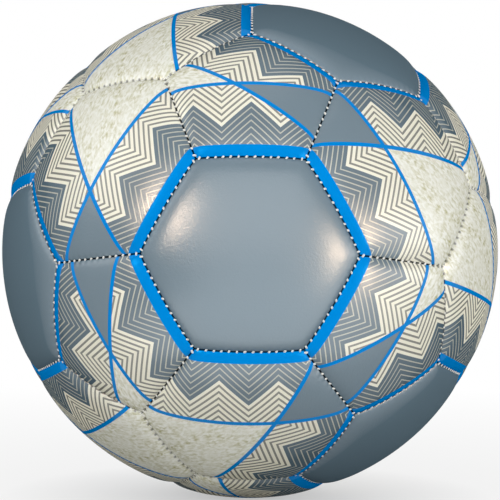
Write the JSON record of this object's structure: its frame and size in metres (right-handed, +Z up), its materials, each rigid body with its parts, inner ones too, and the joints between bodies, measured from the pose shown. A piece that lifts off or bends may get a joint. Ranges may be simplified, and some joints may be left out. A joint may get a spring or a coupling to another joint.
{
  "type": "futsal ball",
  "caption": "Round stitched futsal ball: hexagon and pentagon panels sewn edge to edge over a foam-lined bladder, with a push-in valve for an inflation needle.",
  "frame": {"origin": "the ball's centre", "axes": "-Y is the way the plain front panel faces, +Z points up to the pentagon above that panel, and +Y is the valve's axis, pointing out of the ball"},
  "size_m": [0.1988, 0.2, 0.2],
  "materials": {
    "slate_cover": "satin grained synthetic leather, slate grey",
    "banded_hexagon_cover": "pearl synthetic leather printed with blue bands and slate lines",
    "banded_pentagon_cover": "pearl synthetic leather printed with blue bands and slate lines",
    "thread": "waxed polyester thread, white",
    "butyl": "matte black butyl",
    "foam": "open-cell foam",
    "valve_rubber": "moulded dark grey rubber",
    "core_rubber": "smooth black rubber"
  },
  "bodies": {
    "ball": {"front_panel": "slate_cover", "slate_hexagon_01": "slate_cover", "slate_hexagon_02": "slate_cover", "slate_hexagon_03": "slate_cover", "slate_hexagon_04": "slate_cover", "slate_hexagon_05": "slate_cover", "slate_hexagon_06": "slate_cover", "valve_panel": "slate_cover", "banded_hexagon_01": "banded_hexagon_cover", "banded_hexagon_02": "banded_hexagon_cover", "banded_hexagon_03": "banded_hexagon_cover", "banded_hexagon_04": "banded_hexagon_cover", "banded_hexagon_05": "banded_hexagon_cover", "banded_hexagon_06": "banded_hexagon_cover", "banded_hexagon_07": "banded_hexagon_cover", "banded_hexagon_08": "banded_hexagon_cover", "banded_hexagon_09": "banded_hexagon_cover", "banded_hexagon_10": "banded_hexagon_cover", "banded_hexagon_11": "banded_hexagon_cover", "banded_hexagon_12": "banded_hexagon_cover", "banded_pentagon_01": "banded_pentagon_cover", "banded_pentagon_02": "banded_pentagon_cover", "banded_pentagon_03": "banded_pentagon_cover", "banded_pentagon_04": "banded_pentagon_cover", "banded_pentagon_05": "banded_pentagon_cover", "banded_pentagon_06": "banded_pentagon_cover", "banded_pentagon_07": "banded_pentagon_cover", "banded_pentagon_08": "banded_pentagon_cover", "banded_pentagon_09": "banded_pentagon_cover", "banded_pentagon_10": "banded_pentagon_cover", "banded_pentagon_11": "banded_pentagon_cover", "banded_pentagon_12": "banded_pentagon_cover", "seam_thread": "thread", "bladder": "butyl", "bounce_foam": "foam", "valve_body": "valve_rubber"},
    "valve_core": {"valve_core": "core_rubber"}
  },
  "joints": [
    {"name": "valve_core_slide", "type": "slide", "parent": "ball", "child": "valve_core", "axis": [0, 1, 0], "range_m": [0, 0.02]}
  ]
}
